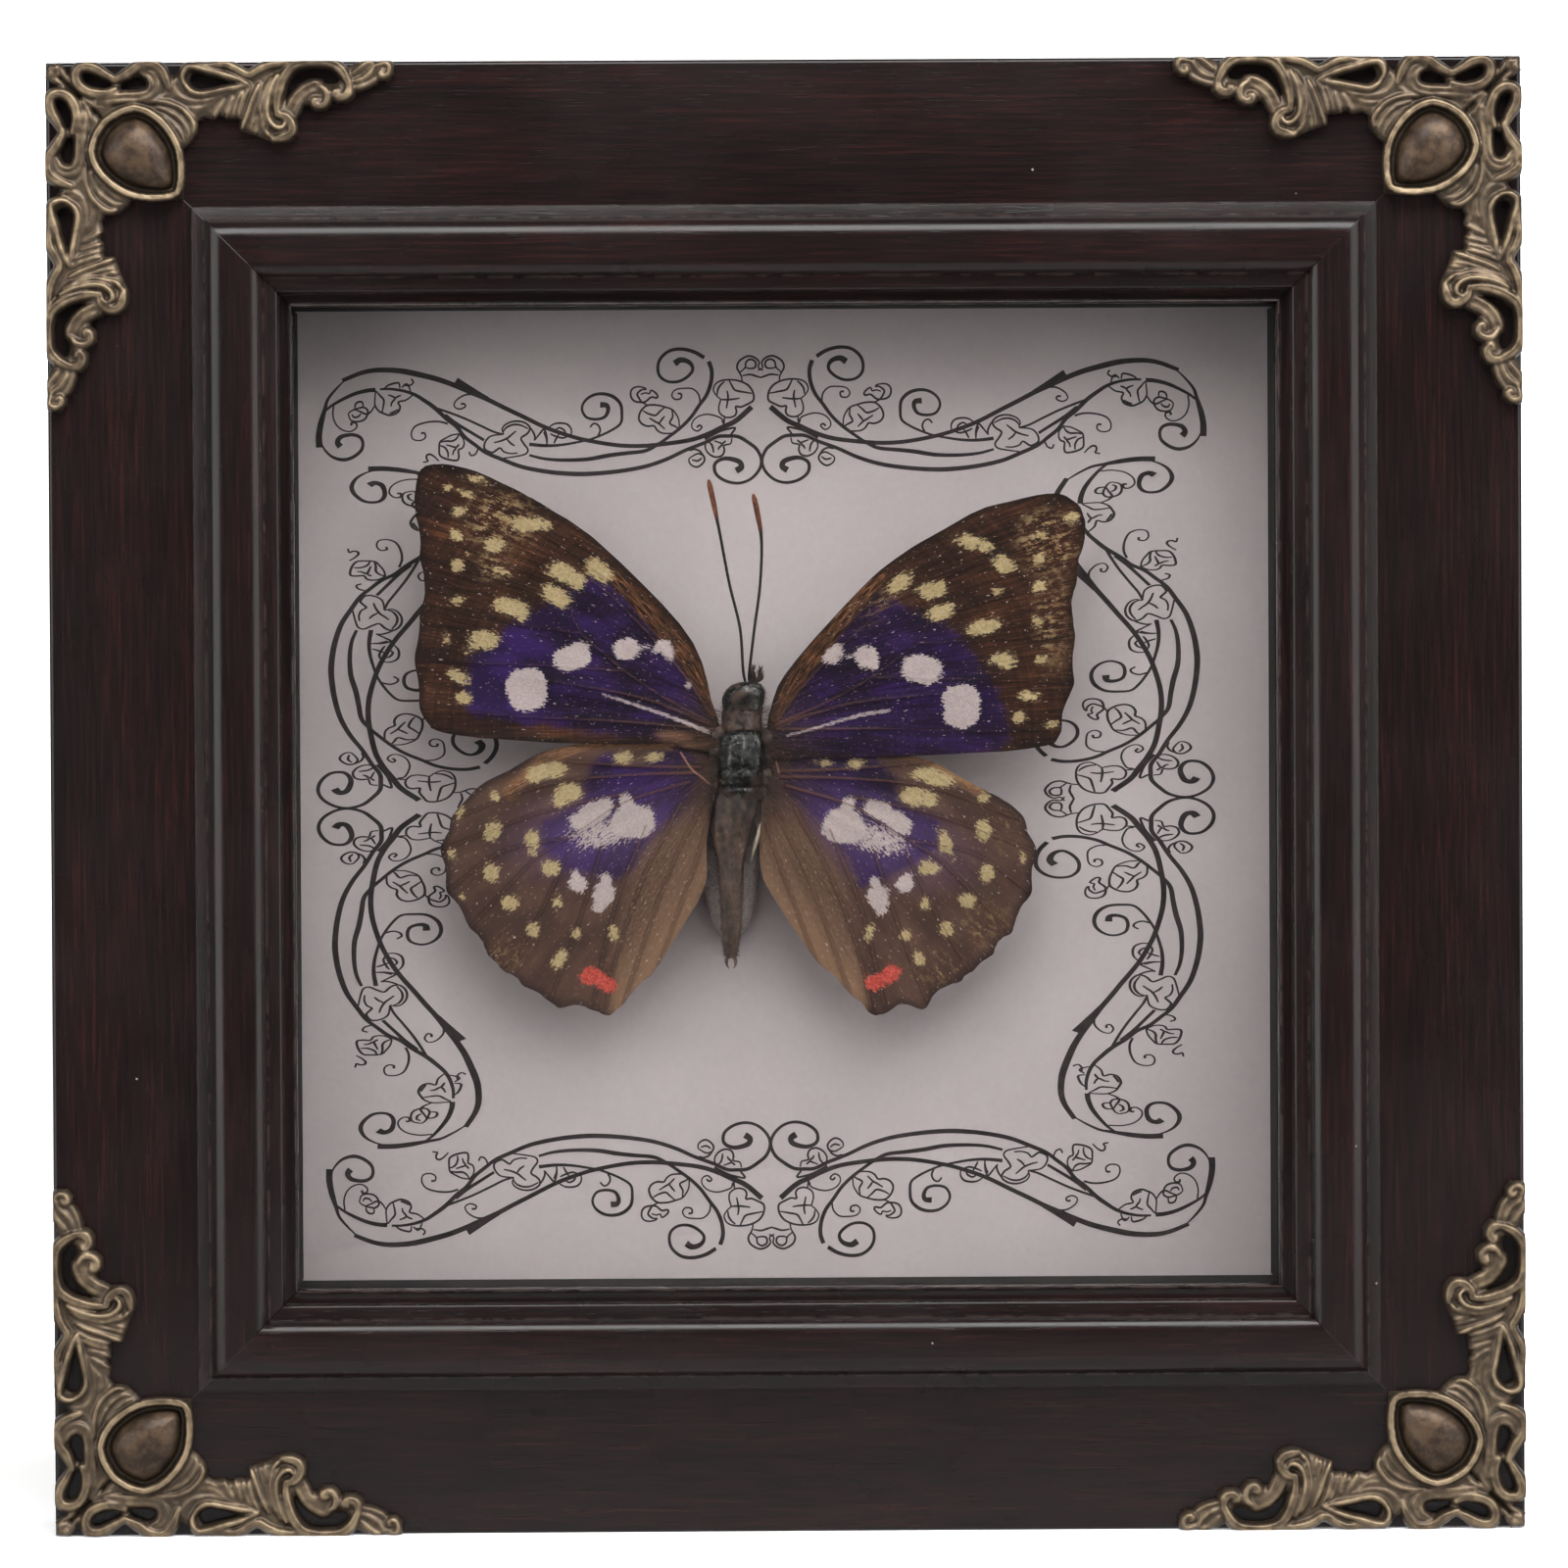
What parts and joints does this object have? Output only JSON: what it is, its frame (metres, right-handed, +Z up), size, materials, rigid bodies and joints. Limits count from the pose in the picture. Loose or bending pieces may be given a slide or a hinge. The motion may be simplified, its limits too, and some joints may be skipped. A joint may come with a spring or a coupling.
{
  "type": "framed butterfly specimen",
  "caption": "Spread butterfly mounted over printed card behind glass, in a deep square dark wood frame with cast scroll corner ornaments.",
  "frame": {"origin": "middle of the frame's bottom edge, on the underside of the bottom rail, in the plane 11 mm behind the rails' flat front face", "axes": "+X to the viewer's right, +Z up, +Y from the glazed front to the back"},
  "size_m": [0.2, 0.0328, 0.2],
  "materials": {
    "mahogany": "dark mahogany stain, satin varnish",
    "antique_bronze": "cast, dark antique patina with worn bright ridges",
    "clear_glass": "plain clear picture glass",
    "black_spacer": "matt dark strip",
    "printed_card": "pale uncoated card printed with a dark scroll border",
    "foam_pad": "grey foam",
    "wing_scales": "brown and violet wing scales with pale spots",
    "insect_body": "dark chitin with short hair",
    "hardboard": "plain brown hardboard",
    "zinc_steel": "zinc plated"
  },
  "bodies": {
    "root": {"rail_top": "mahogany", "rail_right": "mahogany", "rail_bottom": "mahogany", "rail_left": "mahogany", "corner_ornament_top_left": "antique_bronze", "corner_ornament_top_right": "antique_bronze", "corner_ornament_bottom_right": "antique_bronze", "corner_ornament_bottom_left": "antique_bronze", "glass_pane": "clear_glass", "spacer_top": "black_spacer", "spacer_right": "black_spacer", "spacer_bottom": "black_spacer", "spacer_left": "black_spacer", "backing_card": "printed_card", "rest_pad": "foam_pad", "forewing_left": "wing_scales", "forewing_right": "wing_scales", "hindwing_left": "wing_scales", "hindwing_right": "wing_scales", "head": "insect_body", "thorax": "insect_body", "abdomen": "insect_body", "antenna_left": "insect_body", "antenna_right": "insect_body", "back_board": "hardboard", "flex_point_top_1": "zinc_steel", "flex_point_top_2": "zinc_steel", "flex_point_right_1": "zinc_steel", "flex_point_right_2": "zinc_steel", "flex_point_bottom_1": "zinc_steel", "flex_point_bottom_2": "zinc_steel", "flex_point_left_1": "zinc_steel", "flex_point_left_2": "zinc_steel", "sawtooth_hanger": "zinc_steel", "hanger_nail_left": "zinc_steel", "hanger_nail_right": "zinc_steel"}
  },
  "joints": []
}
